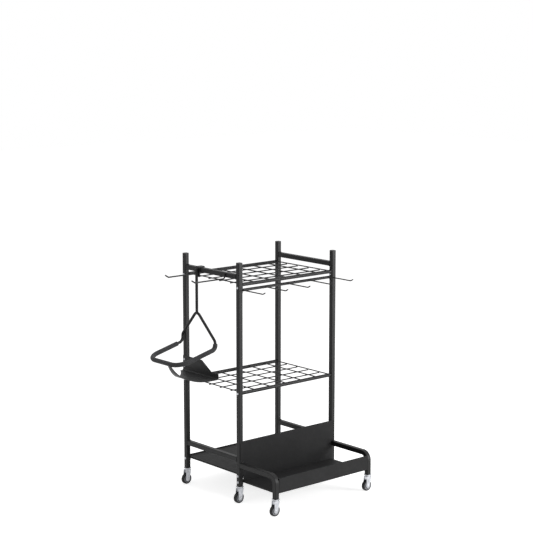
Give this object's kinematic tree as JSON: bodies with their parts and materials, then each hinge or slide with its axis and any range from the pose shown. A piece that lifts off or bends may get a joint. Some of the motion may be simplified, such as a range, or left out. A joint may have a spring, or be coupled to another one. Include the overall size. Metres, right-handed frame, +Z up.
{
  "type": "garden tool rack",
  "caption": "Freestanding garden tool rack on swivel casters: two wire-grid racks over a tray and a front pan, with front prongs and a padded side cradle.",
  "frame": {"origin": "on the floor, under the middle of the whole object's box", "axes": "+Z up, +X to the right as seen from the front, +Y to the rear; the front pan faces -Y and the side cradle faces -X"},
  "size_m": [0.7476, 0.599, 1],
  "materials": {
    "paint": "fine-textured dark grey powder coat",
    "zinc": "bright zinc plate",
    "cap": "matte black moulded plastic",
    "foam": "closed-cell foam, matte grey",
    "wheel_centre": "grey moulded plastic",
    "tyre": "black rubber tread"
  },
  "bodies": {
    "rack": {"post_front_left": "paint", "post_front_right": "paint", "post_rear_left": "paint", "post_rear_right": "paint", "post_caps": "cap", "side_bar_high_left": "paint", "side_bar_high_right": "paint", "side_bar_low_left": "paint", "side_bar_low_right": "paint", "top_front_rail": "paint", "top_rear_rail": "paint", "top_hook_bar": "paint", "top_long_wires": "paint", "top_cross_wires": "paint", "front_prongs": "paint", "mid_front_rail": "paint", "mid_rear_rail": "paint", "mid_long_wires": "paint", "mid_cross_wires": "paint", "tube_inserts": "zinc", "rear_tray": "paint", "front_pan": "paint", "divider_plate": "paint", "leg_loop_left": "paint", "leg_loop_right": "paint", "frame_bolts": "zinc", "plate_screws": "zinc", "weld_nuts": "zinc", "caster_sockets": "cap", "caster_stems": "zinc", "side_hook": "paint", "holder_frame": "paint", "holder_hanger": "paint", "holder_saddle": "paint", "holder_pad": "foam", "holder_cradle": "paint"},
    "caster_front_left": {"fork_front_left": "zinc", "axle_front_left": "zinc"},
    "wheel_front_left": {"hub_front_left": "wheel_centre", "tyre_front_left": "tyre"},
    "caster_front_right": {"fork_front_right": "zinc", "axle_front_right": "zinc"},
    "wheel_front_right": {"hub_front_right": "wheel_centre", "tyre_front_right": "tyre"},
    "caster_mid_left": {"fork_mid_left": "zinc", "axle_mid_left": "zinc"},
    "wheel_mid_left": {"hub_mid_left": "wheel_centre", "tyre_mid_left": "tyre"},
    "caster_mid_right": {"fork_mid_right": "zinc", "axle_mid_right": "zinc"},
    "wheel_mid_right": {"hub_mid_right": "wheel_centre", "tyre_mid_right": "tyre"},
    "caster_rear_left": {"fork_rear_left": "zinc", "axle_rear_left": "zinc"},
    "wheel_rear_left": {"hub_rear_left": "wheel_centre", "tyre_rear_left": "tyre"},
    "caster_rear_right": {"fork_rear_right": "zinc", "axle_rear_right": "zinc"},
    "wheel_rear_right": {"hub_rear_right": "wheel_centre", "tyre_rear_right": "tyre"}
  },
  "joints": [
    {"name": "swivel_front_left", "type": "hinge", "parent": "rack", "child": "caster_front_left", "pos_m": [-0.15837, -0.287, 0.066], "axis": [0, 0, 1], "continuous": true},
    {"name": "roll_front_left", "type": "hinge", "parent": "caster_front_left", "child": "wheel_front_left", "pos_m": [-0.16437, -0.287, 0.0225], "axis": [0, 1, 0], "continuous": true},
    {"name": "swivel_front_right", "type": "hinge", "parent": "rack", "child": "caster_front_right", "pos_m": [0.35663, -0.287, 0.066], "axis": [0, 0, 1], "continuous": true},
    {"name": "roll_front_right", "type": "hinge", "parent": "caster_front_right", "child": "wheel_front_right", "pos_m": [0.35063, -0.287, 0.0225], "axis": [0, 1, 0], "continuous": true},
    {"name": "swivel_mid_left", "type": "hinge", "parent": "rack", "child": "caster_mid_left", "pos_m": [-0.15837, -0.063, 0.066], "axis": [0, 0, 1], "continuous": true},
    {"name": "roll_mid_left", "type": "hinge", "parent": "caster_mid_left", "child": "wheel_mid_left", "pos_m": [-0.16437, -0.063, 0.0225], "axis": [0, 1, 0], "continuous": true},
    {"name": "swivel_mid_right", "type": "hinge", "parent": "rack", "child": "caster_mid_right", "pos_m": [0.35663, -0.063, 0.066], "axis": [0, 0, 1], "continuous": true},
    {"name": "roll_mid_right", "type": "hinge", "parent": "caster_mid_right", "child": "wheel_mid_right", "pos_m": [0.35063, -0.063, 0.0225], "axis": [0, 1, 0], "continuous": true},
    {"name": "swivel_rear_left", "type": "hinge", "parent": "rack", "child": "caster_rear_left", "pos_m": [-0.15837, 0.287, 0.066], "axis": [0, 0, 1], "continuous": true},
    {"name": "roll_rear_left", "type": "hinge", "parent": "caster_rear_left", "child": "wheel_rear_left", "pos_m": [-0.16437, 0.287, 0.0225], "axis": [0, 1, 0], "continuous": true},
    {"name": "swivel_rear_right", "type": "hinge", "parent": "rack", "child": "caster_rear_right", "pos_m": [0.35663, 0.287, 0.066], "axis": [0, 0, 1], "continuous": true},
    {"name": "roll_rear_right", "type": "hinge", "parent": "caster_rear_right", "child": "wheel_rear_right", "pos_m": [0.35063, 0.287, 0.0225], "axis": [0, 1, 0], "continuous": true}
  ]
}
